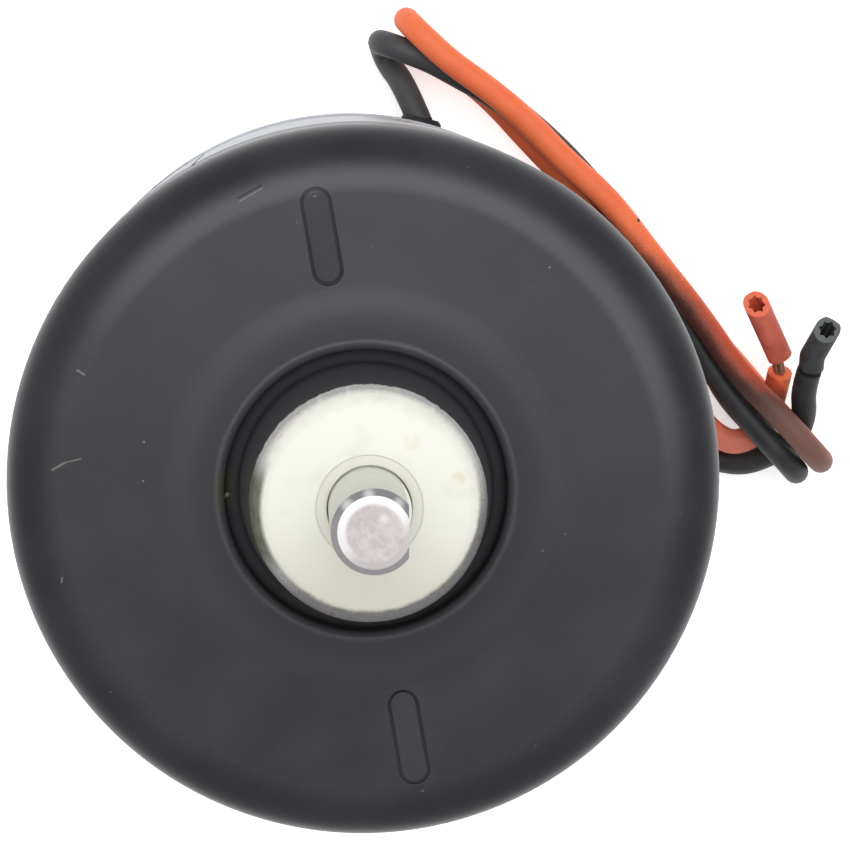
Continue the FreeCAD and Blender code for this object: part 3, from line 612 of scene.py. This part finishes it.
@dataclass(frozen=True)
class TurnedSteel:
    """Ground shaft, with a mottled end face inside a ring that carries a painted highlight on its upper
    left side and painted shade on its lower right, a dull outer bevel with painted shade along its top,
    and painted glints.
    """

    end: Colour = tone(200, 193, 193)
    end_pit: Colour = tone(172, 163, 164)
    side: Colour = tone(236, 237, 228)
    side_dull: Colour = tone(212, 214, 204)
    crown_highlight: Colour = tone(232, 231, 231)
    crown_shade: Colour = tone(196, 190, 190)
    bevel: Colour = tone(172, 168, 171)
    bevel_top_shade: Colour = tone(152, 149, 155)
    end_z: Pair = (126.2, 126.25)
    bevel_z: Pair = (125.6, 125.64)
    disc: Pair = (2.79, 2.73)
    disc_rim: Pair = (2.4, 2.78)
    centre_mark: Point = (-0.2, 0.3, 0.5)
    gleam: Point = (0.9, 1.3, 0.75)
    glints: tuple[Point, ...] = ((-0.5, 3.45, 0.8), (-2.45, 2.5, 0.9), (2.15, 2.6, 0.8))
    streak_depth: float = 0.002
    mottle_depth: float = 0.004
    side_roughness: float = 0.34
    end_roughness: float = 0.5
    metallic: float = 0.55

    def face(self, net: Net, mottle: Val, lit: Val) -> Val:
        """Colour of the mottled end face, with a painted highlight spot and a painted highlight along its
        rim on the upper left side.

        Args:
            net: Tree of the shaft's material.
            mottle: Blotches of the face.
            lit: Mask of the side toward the upper left.

        Returns:
            The colour.
        """
        grit = net.fade(net.noise(0.16, 2.0, shift=6.0), 0.35, 0.75)
        mark = net.spot(*self.centre_mark) * 0.7
        face = net.mix((mottle * 0.6 + grit * 0.3).most(mark), self.end, self.end_pit)
        # Painted highlight: a soft bright spot on the end face.
        x, y, radius = self.gleam
        face = net.mix(net.fade(net.away(x, y), radius, 0.0) * 0.5, face, self.crown_highlight)
        # Painted highlight along the end face's rim on the upper left side.
        return net.mix(net.fade(net.radius, *self.disc_rim) * lit * 0.7, face, self.crown_highlight)

    def build(self) -> bpy.types.Material:
        """Make the shaft finish.

        Returns:
            The material.
        """
        net = Net("shaft_steel")
        top = net.fade(net.z, *self.end_z)
        disc = top * net.fade(net.radius, *self.disc)
        crown_highlight = top * (1.0 - disc)
        bevel = net.fade(net.z, *self.bevel_z) * (1.0 - top)
        lit = net.fade(net.y - net.x * 0.6, -2.4, 0.8)
        mottle = net.fade(net.noise(0.9, 1.0), 0.3, 0.75)
        streaks = net.noise(0.3, 2.0, stretch=(10.0, 10.0, 1.0))
        side = net.mix(net.fade(streaks, 0.3, 0.75) * 0.7, self.side, self.side_dull)
        # Painted shade: the bevel is darker along its top.
        rim = net.mix(net.fade(net.y, 0.5, 2.5), self.bevel, self.bevel_top_shade)
        # Painted highlight on the chamfer's inner ring at the upper left, painted shade at the lower
        # right.
        ring = net.mix(lit, self.crown_shade, self.crown_highlight)
        colour = net.mix(crown_highlight, net.mix(bevel, side, rim), ring)
        colour = net.mix(disc, colour, self.face(net, mottle, lit))
        # Painted glints where the inner ring meets the bevel.
        for x, y, radius in self.glints:
            glint = net.fade(net.away(x, y), radius, radius * 0.1)
            colour = net.mix(glint * bevel.most(crown_highlight), colour, self.crown_highlight)
        relief = net.bump(streaks * (1.0 - top), self.streak_depth)
        relief = net.bump(mottle * disc, self.mottle_depth, relief)
        rough = net.between(disc, self.side_roughness, self.end_roughness)
        metal = self.metallic - crown_highlight * 0.35 - disc * 0.15 - bevel * 0.15
        return net.surface(Base_Color=colour, Roughness=rough, Metallic=metal, Normal=relief)


@dataclass(frozen=True)
class Grained:
    """Plain material with a mottled colour, a grain and a relief."""

    name: str
    low: Colour
    high: Colour
    grain: float = 0.6
    stretch: Point = (1.0, 1.0, 1.0)
    roughness: float = 0.5
    metallic: float = 0.0
    depth: float = 0.02
    mottle: float = 6.0

    def build(self) -> bpy.types.Material:
        """Make the finish.

        Returns:
            The material.
        """
        net = Net(self.name)
        fine = net.noise(self.grain, 3.0, stretch=self.stretch)
        broad = net.noise(self.mottle, 2.0, shift=6.0)
        colour = net.mix((fine * 0.6 + broad * 0.6 - 0.1).most(0.0).least(1.0), self.low, self.high)
        relief = net.bump(fine, self.depth)
        rough = self.roughness + (broad - 0.5) * 0.16 + (fine - 0.5) * 0.1
        return net.surface(Base_Color=colour, Roughness=rough, Metallic=self.metallic, Normal=relief)


@dataclass(frozen=True)
class Striped:
    """Material with fine stripes: stacked sheets, wound wire or a braid."""

    name: str
    low: Colour
    high: Colour
    pitch: float
    along_z: bool = True
    across: float = 0.0
    roughness: float = 0.4
    metallic: float = 0.8
    depth: float = 0.06

    def build(self) -> bpy.types.Material:
        """Make the finish.

        Returns:
            The material.
        """
        net = Net(self.name)
        run = net.z if self.along_z else net.radius + net.z * 0.5
        if self.across:
            run = run + net.y.angle_from(net.x) * self.across
        wander = net.noise(3.0, 2.0) * self.pitch
        stripes = ((run + wander) * (2 * math.pi / self.pitch)).wave() * 0.5 + 0.5
        broad = net.noise(5.0, 3.0, shift=8.0)
        colour = net.mix((stripes * 0.7 + broad * 0.5 - 0.1).least(1.0), self.low, self.high)
        relief = net.bump(stripes, self.depth)
        rough = self.roughness + (broad - 0.5) * 0.2
        return net.surface(Base_Color=colour, Roughness=rough, Metallic=self.metallic, Normal=relief)


@dataclass(frozen=True)
class OrangeSleeve:
    """Orange lead insulation, dusted with black spray on the strand that lies uppermost beside the can."""

    clean: Colour = tone(255, 127, 78)
    deep: Colour = tone(250, 108, 70)
    fading: Colour = tone(204, 84, 58)
    soot: Colour = tone(42, 37, 37)
    brown: Colour = tone(116, 88, 78)
    haze: Colour = tone(196, 118, 108)
    start: Pair = (31.6, 26.3)
    run: Pair = (0.628, -0.778)
    blot: Point = (35.3, 23.6, 0.3)
    roughness: float = 0.48

    def upper_strand(self, net: Net, across: Val) -> Val:
        """Mask of the uppermost strand beside the can."""
        return net.fade(net.z, 7.2, 7.9) * net.fade(across, 2.5, 2.0) * net.fade(across, -4.0, -3.2)

    def dusting(self, net: Net, along: Val, across: Val) -> Val:
        """Mask of the grainy spray: it starts at one edge of the strand and closes over it.

        Args:
            net: Tree of the sleeve's material.
            along: Distance along the strand from the start of the spray.
            across: Distance from the strand's middle line.

        Returns:
            The mask.
        """
        grain = net.noise(0.22, 2.0, shift=2.0) - 0.5
        cloud = net.noise(2.2, 2.0, shift=8.0) - 0.5
        middle = net.fade(along, 16.0, 27.0) * net.fade(along, 35.0, 27.0) * -0.9 - 0.15
        line = net.fade(along, 0.0, 14.0) * 1.95 + net.fade(along, 25.0, 36.0) * 2.0 - 1.75
        cover = net.fade(across - middle - line + grain * 1.4 + cloud * 0.9, 1.5, -1.4)
        return cover * net.fade(along, -2.0, 2.5)

    def build(self) -> bpy.types.Material:
        """Make the sleeve.

        Returns:
            The material.
        """
        net = Net("orange_sleeve")
        along = (net.x - self.start[0]) * self.run[0] + (net.y - self.start[1]) * self.run[1]
        across = (net.x - self.start[0]) * -self.run[1] + (net.y - self.start[1]) * self.run[0]
        upper = self.upper_strand(net, across)
        fine = net.noise(0.35, 3.0)
        patch = net.noise(3.0, 2.0, shift=3.0)
        colour = net.mix(net.fade(patch, 0.3, 0.8) * 0.5, self.clean, self.deep)
        low = net.fade(net.x * 0.1 - net.y, 4.4, 8.4) * net.fade(net.z, 7.6, 6.8)
        low = low * net.fade(net.x, 38.0, 41.0)
        colour = net.mix(low * net.between(fine, 0.5, 0.9), colour, self.haze)
        colour = net.mix(net.fade(along, 6.0, 22.0) * upper * 0.85, colour, self.fading)
        spray = net.mix(net.fade(along, 27.0, 37.0), self.soot, self.brown)
        colour = net.mix(self.dusting(net, along, across) * upper * 0.94, colour, spray)
        colour = net.mix(net.spot(*self.blot), colour, self.soot)
        return net.vinyl(colour, patch, self.roughness)


@dataclass(frozen=True)
class CutSleeve:
    """Loose piece of insulation, dulled outside, with a cleaner cut end and painted shade in its bore."""

    name: str
    side: Colour
    side_dull: Colour
    cut: Colour
    bore: Colour
    start: Point
    end: Point
    slant: Point
    bore_radius: float = 0.95
    bore_blur: float = 0.06
    cut_depth: Pair = (-0.09, -0.03)
    roughness: float = 0.5

    def build(self) -> bpy.types.Material:
        """Make the finish.

        Returns:
            The material.
        """
        net = Net(self.name)
        run = (Vector(self.end) - Vector(self.start)).normalized()
        face = Vector(self.slant).normalized()
        axes = (net.x, net.y, net.z)
        offsets = [axis - begin for axis, begin in zip(axes, self.start)]
        along = offsets[0] * run.x + offsets[1] * run.y + offsets[2] * run.z
        square = offsets[0] ** 2.0 + offsets[1] ** 2.0 + offsets[2] ** 2.0
        away = (square - along * along).most(0.0) ** 0.5
        tops = [axis - stop for axis, stop in zip(axes, self.end)]
        height = tops[0] * face.x + tops[1] * face.y + tops[2] * face.z
        patch = net.noise(2.2, 2.0, shift=5.0)
        side = net.mix(net.fade(patch, 0.3, 0.7), self.side, self.side_dull)
        end = net.fade(height, *self.cut_depth)
        colour = net.mix(end, side, self.cut)
        edge = self.bore_blur
        # Painted shade: the inside of the bore is darker.
        inner = net.fade(away, self.bore_radius + edge, self.bore_radius - edge) * (1.0 - end)
        return net.vinyl(net.mix(inner, colour, self.bore), patch, self.roughness)


@dataclass(frozen=True)
class BlackSleeve:
    """Matt black lead insulation with dust rubbed into it."""

    clean: Colour = tone(38, 38, 41)
    worn: Colour = tone(56, 55, 56)
    dusted: Colour = tone(80, 80, 82)
    speck: Colour = tone(120, 114, 106)
    roughness: float = 0.46
    gloss: float = 0.4

    def build(self) -> bpy.types.Material:
        """Make the sleeve.

        Returns:
            The material.
        """
        net = Net("black_sleeve")
        patch = net.noise(3.5, 3.0, shift=5.0)
        colour = net.mix(net.fade(patch, 0.35, 0.75), self.clean, self.worn)
        colour = net.mix(net.fade(net.y - net.x, 6.0, 34.0) * 0.8, colour, self.dusted)
        colour = net.mix(net.specks(2.4, 0.08) * 0.4, colour, self.speck)
        return net.vinyl(colour, patch, self.roughness, self.gloss)


class Finish(Enum):
    """Every finish of the object."""

    PAINT = PaintedCap()
    ZINC = PlatedSteel()
    PRESSED = PlatedSteel(name="zinc_pressing", streak=(1.0, 1.0, 1.0), roughness=0.34)
    FERRITE = Grained("ferrite", tone(48, 47, 50), tone(78, 77, 80), grain=0.3, roughness=0.62, depth=0.03)
    SPRING = Grained("spring_steel", tone(120, 122, 130), tone(168, 170, 176), metallic=1.0, roughness=0.3)
    SHAFT = TurnedSteel()
    CORE = Striped("lamination_steel", tone(70, 70, 74), tone(138, 138, 142), pitch=0.5, roughness=0.45)
    FIBRE = Grained("fibre_green", tone(54, 92, 74), tone(84, 128, 102), grain=0.25, roughness=0.7)
    ENAMEL = Striped(
        "copper_enamel", tone(108, 44, 22), tone(196, 98, 52), pitch=0.62, along_z=False, roughness=0.3,
    )
    MOULDING = Grained("moulding_brown", tone(70, 44, 30), tone(98, 64, 44), grain=0.4, roughness=0.42)
    COPPER = Striped(
        "copper", tone(168, 90, 58), tone(226, 142, 100),
        pitch=0.35, roughness=0.3, metallic=1.0, depth=0.01,
    )
    BRONZE = Grained(
        "bronze", tone(118, 84, 46), tone(164, 124, 74), grain=0.18, metallic=0.9, roughness=0.46,
    )
    FELT = Grained("felt", tone(172, 162, 140), tone(214, 206, 186), grain=0.2, roughness=0.95, depth=0.12)
    CARD = Grained(
        "card_board", tone(120, 78, 44), tone(156, 106, 62),
        grain=0.5, stretch=(6.0, 1.0, 1.0), roughness=0.6,
    )
    BRASS = Grained(
        "brass_sheet", tone(176, 140, 66), tone(214, 180, 100), metallic=1.0, roughness=0.32, depth=0.008,
    )
    CARBON = Grained("carbon", tone(36, 35, 36), tone(62, 60, 60), grain=0.2, roughness=0.55, metallic=0.2)
    BRAID = Striped(
        "copper_braid", tone(120, 62, 36), tone(206, 128, 84), pitch=0.4, across=2.0, metallic=0.9,
    )
    RUBBER = Grained("black_rubber", tone(34, 34, 35), tone(50, 50, 51), grain=0.3, roughness=0.7)
    BLACK_SLEEVE = BlackSleeve()
    ORANGE_SLEEVE = OrangeSleeve()
    ORANGE_CUT = CutSleeve(
        "orange_cut_sleeve", tone(212, 108, 86), tone(190, 90, 74), tone(250, 124, 90), tone(196, 66, 48),
        start=(52.9, 6.8, 10.4), end=(49.47, 13.47, 13.83), slant=(-0.2, 0.5, 0.84),
    )
    BLACK_CUT = CutSleeve(
        "black_cut_sleeve", tone(52, 53, 55), tone(66, 67, 68), tone(104, 108, 107), tone(20, 20, 22),
        start=(56.4, 7.1, 13.8), end=(58.03, 10.44, 15.19), slant=(0.1, 0.55, 0.83),
    )
    STRAND = Grained(
        "strand_copper", tone(132, 100, 76), tone(186, 148, 118), grain=0.3, metallic=0.5, roughness=0.45,
    )

    def material(self) -> bpy.types.Material:
        """Material of this finish, made at its first use.

        Returns:
            The material.
        """
        if self.name not in MADE:
            MADE[self.name] = self.value.build()
        return MADE[self.name]


MADE: dict[str, bpy.types.Material] = {}


def dress(node: str, finish: Finish) -> None:
    """Give a CAD node its finish.

    Args:
        node: Name of the node.
        finish: Finish that it shows.
    """
    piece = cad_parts[node]
    if not piece.data.materials:
        piece.data.materials.append(finish.material())
    for place in piece.material_slots:
        place.material = finish.material()
    LOG.info("dressed %s in %s", node, finish.name.lower())


@dataclass
class Camera:
    """Camera at the photograph's viewing angle."""

    place: Point = (-8.08, 40.87, 445.0)
    target: Point = (6.2, 5.9, 85.0)
    lens: float = 150.6
    sensor: float = 36.0
    nearest: float = 10.0

    def build(self) -> None:
        """Make the camera and choose it."""
        data = bpy.data.cameras.new("photo_camera")
        data.lens = self.lens
        data.sensor_width = self.sensor
        data.clip_start = self.nearest * MM
        eye = Vector(self.place) * MM
        forward = (Vector(self.target) * MM - eye).normalized()
        right = forward.cross(Vector((0.0, 1.0, 0.0))).normalized()
        up = right.cross(forward)
        camera = bpy.data.objects.new("photo_camera", data)
        camera.matrix_world = Matrix((
            (right.x, up.x, -forward.x, eye.x),
            (right.y, up.y, -forward.y, eye.y),
            (right.z, up.z, -forward.z, eye.z),
            (0.0, 0.0, 0.0, 1.0),
        ))
        bpy.context.scene.collection.objects.link(camera)
        bpy.context.scene.camera = camera


def polar(radius: float, angle: float, height: float) -> Point:
    """Point about the shaft line, from millimetres and an angle in degrees."""
    turn = math.radians(angle)
    return (radius * math.cos(turn), radius * math.sin(turn), height)


@dataclass
class Lead:
    """One flexible lead with its loose end of insulation."""

    name: str
    sleeve: Finish
    cut: Finish
    angle: float
    route: list[Point]
    length: float
    diameter: float = 3.1
    grommet_face: float = 37.2
    tuck: float = 0.8
    height: float = 6.0
    order: int = 3
    curve_steps: int = 8
    bevel_steps: int = 6

    def build(self) -> None:
        """Make the lead as one smooth curve in place of its CAD solid."""
        points = [polar(self.grommet_face - self.tuck, self.angle, self.height), *self.route]
        data = bpy.data.curves.new(self.name + "_lead_flex", "CURVE")
        data.dimensions = "3D"
        spline = data.splines.new("NURBS")
        spline.points.add(len(points) - 1)
        for spot, point in zip(spline.points, points):
            spot.co = (point[0] * MM, point[1] * MM, point[2] * MM, 1.0)
        spline.order_u = self.order
        spline.use_endpoint_u = True
        data.bevel_depth = self.diameter / 2 * MM
        data.bevel_resolution = self.bevel_steps
        data.resolution_u = self.curve_steps
        data.use_fill_caps = True
        flex = bpy.data.objects.new(self.name + "_lead_flex", data)
        bpy.context.scene.collection.objects.link(flex)
        data.materials.append(self.sleeve.material())
        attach(flex, "housing")
        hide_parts(self.name + "_lead")
        for part, finish in (("insulation_slug", self.cut), ("copper_strands", Finish.STRAND)):
            dress(f"{self.name}_{part}", finish)
        tuple(c * MM for c in points[0])
        self.diameter * MM
        LOG.info("laid the %s lead", self.name)


BLACK_LEAD = Lead(
    name="black",
    sleeve=Finish.BLACK_SLEEVE,
    cut=Finish.BLACK_CUT,
    angle=76.0,
    length=163.0,
    route=[
        (6.8, 40.2, 4.4),
        (4.9, 42.7, 2.0),
        (3.9, 45.3, 3.2),
        (3.9, 45.3, 6.6),
        (6.7, 44.3, 7.9),
        (9.9, 43.1, 7.3),
        (13.2, 41.3, 6.9),
        (18.8, 38.2, 6.9),
        (25.0, 33.1, 6.9),
        (30.7, 27.0, 6.7),
        (35.4, 21.5, 6.7),
        (39.4, 15.6, 7.2),
        (42.2, 9.2, 8.4),
        (46.2, 2.8, 8.8),
        (49.9, -1.8, 9.1),
        (54.1, -6.3, 9.1),
        (56.2, -8.5, 5.2),
        (55.1, -7.1, 1.7),
        (51.4, -3.0, 1.7),
        (47.5, 1.1, 1.7),
        (45.1, 5.7, 1.7),
        (42.4, 9.8, 1.7),
        (38.0, 8.1, 1.7),
        (38.0, 2.7, 1.7),
        (39.4, -2.4, 1.7),
        (42.6, -5.5, 1.7),
        (46.2, -6.9, 1.8),
        (49.7, -7.3, 3.1),
        (53.1, -5.6, 5.2),
        (55.8, -3.1, 6.7),
        (56.3, -0.3, 8.6),
        (55.7, 2.6, 11.0),
        (56.2, 5.2, 12.8),
    ],
)

ORANGE_LEAD = Lead(
    name="orange",
    sleeve=Finish.ORANGE_SLEEVE,
    cut=Finish.ORANGE_CUT,
    angle=-14.0,
    length=216.0,
    route=[
        polar(41.4, -14.0, 6.0),
        (43.2, -5.7, 7.2),
        (41.6, 1.1, 8.6),
        (38.3, 6.8, 8.9),
        (35.9, 13.8, 8.6),
        (32.2, 20.9, 5.2),
        (28.3, 27.1, 3.4),
        (22.4, 33.1, 3.9),
        (17.6, 38.4, 3.7),
        (12.7, 42.3, 3.1),
        (8.5, 46.6, 2.6),
        (6.6, 48.5, 6.4),
        (8.2, 46.6, 10.5),
        (12.2, 42.9, 10.3),
        (16.7, 39.8, 10.2),
        (21.6, 35.8, 10.1),
        (26.4, 30.7, 10.0),
        (31.7, 26.2, 10.0),
        (36.8, 19.4, 10.4),
        (42.7, 12.1, 11.0),
        (47.8, 4.5, 11.5),
        (52.7, -0.3, 11.6),
        (56.7, -4.7, 11.4),
        (58.9, -6.9, 7.6),
        (57.9, -5.5, 3.7),
        (54.8, -2.0, 1.7),
        (51.3, 1.8, 2.4),
        (47.5, 6.2, 4.2),
        (44.0, 9.6, 5.0),
        (39.9, 8.8, 5.0),
        (38.7, 5.1, 5.0),
        (42.5, -0.3, 5.0),
        (47.1, -4.8, 5.2),
        (51.0, -3.3, 5.7),
        (52.7, 0.7, 6.3),
        (53.1, 4.7, 9.0),
    ],
)


@dataclass
class Assembly:
    """A group of CAD nodes and the finish of each."""

    title: str
    finishes: dict[str, Finish]

    def build(self) -> None:
        """Dress every node of the group."""
        LOG.info("assembly %s", self.title)
        for node, finish in self.finishes.items():
            dress(node, finish)


HOUSING = Assembly("housing", {
    "front_cap": Finish.PAINT,
    "yoke_tube": Finish.ZINC,
    "rear_cover": Finish.PRESSED,
    "rear_dust_cap": Finish.PRESSED,
    **{f"field_magnet_{k}": Finish.FERRITE for k in range(1, 5)},
    "magnet_clips": Finish.SPRING,
    "front_bearing": Finish.BRONZE,
    "rear_bearing": Finish.BRONZE,
    "front_bearing_retainer": Finish.SPRING,
    "rear_bearing_retainer": Finish.SPRING,
    "front_oil_felt": Finish.FELT,
    "rear_oil_felt": Finish.FELT,
})

ROTOR = Assembly("rotor", {
    "motor_shaft": Finish.SHAFT,
    "armature_core": Finish.CORE,
    "rear_end_disc": Finish.FIBRE,
    "front_end_disc": Finish.FIBRE,
    "armature_windings": Finish.ENAMEL,
    "commutator_hub": Finish.MOULDING,
    "commutator_bars": Finish.COPPER,
    "spacer_sleeve": Finish.PRESSED,
    "oil_slinger": Finish.PRESSED,
    "front_thrust_washer": Finish.SPRING,
    "front_fibre_washer": Finish.FIBRE,
    "rear_thrust_washer": Finish.SPRING,
    "rear_fibre_washer": Finish.FIBRE,
})

BRUSH_GEAR = Assembly("brush gear", {
    "brush_card": Finish.CARD,
    "card_pillars": Finish.PRESSED,
    "brush_holder_1": Finish.BRASS,
    "brush_holder_2": Finish.BRASS,
    "carbon_brush_1": Finish.CARBON,
    "carbon_brush_2": Finish.CARBON,
    "brush_spring_1": Finish.SPRING,
    "brush_spring_2": Finish.SPRING,
    "brush_pigtail_1": Finish.BRAID,
    "brush_pigtail_2": Finish.BRAID,
    "holder_rivets": Finish.BRASS,
    "black_lead_grommet": Finish.RUBBER,
    "orange_lead_grommet": Finish.RUBBER,
    "black_inner_lead": Finish.BLACK_SLEEVE,
    "orange_inner_lead": Finish.ORANGE_SLEEVE,
})


@dataclass
class Studio:
    """Pale floor, a soft sky and a ring of lamps over the shaft end."""

    floor_half: float = 2400.0
    floor_tone: Colour = tone(250, 250, 250)
    floor_glow: float = 0.55
    floor_near: float = 50.0
    floor_far: float = 260.0
    floor_dim: Colour = tone(180, 180, 182)
    glow_near: Colour = (1.0, 1.0, 1.0, 1.0)
    glow_far: Colour = (0.3, 0.3, 0.3, 1.0)
    floor_roughness: float = 0.9
    zenith: float = 0.58
    horizon: float = 0.4
    lamp_reach: float = 680.0
    lamp_lean: float = 23.0
    lamp_size: float = 420.0
    lamp_aim: float = 90.0
    lamps: tuple[tuple[str, float, float], ...] = (
        ("top", 90.0, 1.2),
        ("upper_left", 148.0, 0.65),
        ("lower_left", 208.0, 0.26),
        ("bottom", 270.0, 0.14),
        ("lower_right", 332.0, 0.3),
        ("upper_right", 28.0, 0.65),
    )

    def build(self) -> None:
        """Make the floor, the sky and the lamps."""
        bpy.ops.object.select_all(action="DESELECT")
        bpy.ops.mesh.primitive_plane_add(size=2 * self.floor_half * MM, location=(0, 0, 0))
        floor = bpy.context.object
        floor.name = "studio_floor"
        net = Net("studio_floor")
        far = net.fade(net.radius, self.floor_near, self.floor_far)
        floor.data.materials.append(net.surface(
            Base_Color=net.mix(far, self.floor_tone, self.floor_dim),
            Roughness=self.floor_roughness,
            Emission_Color=net.mix(far, self.glow_near, self.glow_far),
            Emission_Strength=self.floor_glow,
        ))
        self.sky()
        for name, angle, power in self.lamps:
            self.lamp(name, angle, power)
        bpy.context.scene.view_settings.view_transform = "Standard"

    def sky(self) -> None:
        """Make a sky that fades from the zenith to the horizon."""
        world = bpy.data.worlds.new("studio_sky")
        world.use_nodes = True
        tree = world.node_tree
        back = tree.nodes["Background"]
        back.inputs["Strength"].default_value = 1.0
        direction = tree.nodes.new("ShaderNodeTexCoord")
        axes = tree.nodes.new("ShaderNodeSeparateXYZ")
        ramp = tree.nodes.new("ShaderNodeMapRange")
        ramp.inputs["To Min"].default_value = self.horizon
        ramp.inputs["To Max"].default_value = self.zenith
        tree.links.new(direction.outputs["Generated"], axes.inputs[0])
        tree.links.new(axes.outputs["Z"], ramp.inputs["Value"])
        tree.links.new(ramp.outputs[0], back.inputs["Color"])
        bpy.context.scene.world = world

    def lamp(self, name: str, angle: float, power: float) -> None:
        """Hang one soft lamp of the ring, aimed at the object.

        Args:
            name: Name of the lamp.
            angle: Angle about the shaft line in degrees.
            power: Watts.
        """
        data = bpy.data.lights.new(name, "AREA")
        data.shape = "SQUARE"
        data.size = self.lamp_size * MM
        data.energy = power
        lamp = bpy.data.objects.new(name, data)
        lean = math.radians(self.lamp_lean)
        height = self.lamp_aim + self.lamp_reach * math.cos(lean)
        lamp.location = Vector(polar(self.lamp_reach * math.sin(lean), angle, height)) * MM
        aim = Vector((0.0, 0.0, self.lamp_aim)) * MM - lamp.location
        lamp.rotation_euler = aim.to_track_quat("-Z", "Y").to_euler()
        bpy.context.scene.collection.objects.link(lamp)


def main() -> None:
    """Build the camera, the leads, the dressed assemblies and the studio."""
    Camera().build()
    for lead in (BLACK_LEAD, ORANGE_LEAD):
        lead.build()
    for group in (HOUSING, ROTOR, BRUSH_GEAR):
        group.build()
    Studio().build()


if __name__ == "__main__":
    main()
